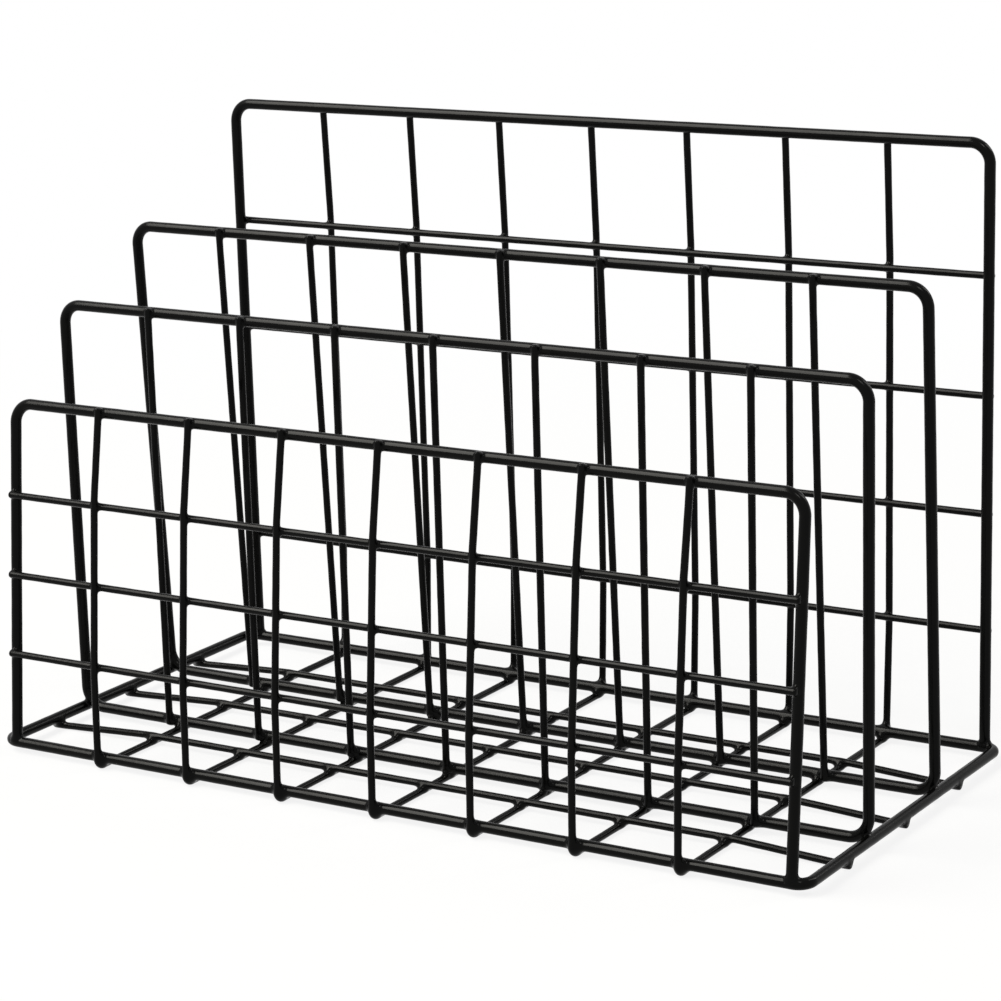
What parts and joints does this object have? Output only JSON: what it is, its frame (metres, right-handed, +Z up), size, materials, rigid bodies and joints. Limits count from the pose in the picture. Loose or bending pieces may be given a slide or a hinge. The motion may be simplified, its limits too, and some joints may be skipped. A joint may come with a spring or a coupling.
{
  "type": "letter rack",
  "caption": "Free-standing letter rack of black enamelled welded wire: stepped upright frames on a flat base rim, with open slots between them for letters and papers.",
  "frame": {"origin": "on the desk, under the middle of the rack", "axes": "+X along the slots, left to right seen from the front; +Y towards the tall back; +Z up"},
  "size_m": [0.3, 0.1482, 0.2015],
  "materials": {
    "black_enamel": "glossy black enamel over steel wire"
  },
  "bodies": {
    "root": {"base_rim": "black_enamel", "front_hoop": "black_enamel", "front_divider": "black_enamel", "rear_divider": "black_enamel", "back_hoop": "black_enamel", "cradle_wire_1": "black_enamel", "cradle_wire_2": "black_enamel", "cradle_wire_3": "black_enamel", "cradle_wire_4": "black_enamel", "cradle_wire_5": "black_enamel", "cradle_wire_6": "black_enamel", "cradle_wire_7": "black_enamel", "front_wire_1": "black_enamel", "front_wire_2": "black_enamel", "front_wire_3": "black_enamel", "back_wire_1": "black_enamel", "back_wire_2": "black_enamel", "back_wire_3": "black_enamel", "back_wire_4": "black_enamel", "base_wire_1": "black_enamel", "base_wire_2": "black_enamel", "base_wire_3": "black_enamel", "front_divider_wire_1": "black_enamel", "front_divider_wire_2": "black_enamel", "front_divider_wire_3": "black_enamel", "front_divider_wire_4": "black_enamel", "front_divider_wire_5": "black_enamel", "front_divider_wire_6": "black_enamel", "front_divider_wire_7": "black_enamel", "rear_divider_wire_1": "black_enamel", "rear_divider_wire_2": "black_enamel", "rear_divider_wire_3": "black_enamel", "rear_divider_wire_4": "black_enamel", "rear_divider_wire_5": "black_enamel", "rear_divider_wire_6": "black_enamel", "rear_divider_wire_7": "black_enamel"}
  },
  "joints": []
}
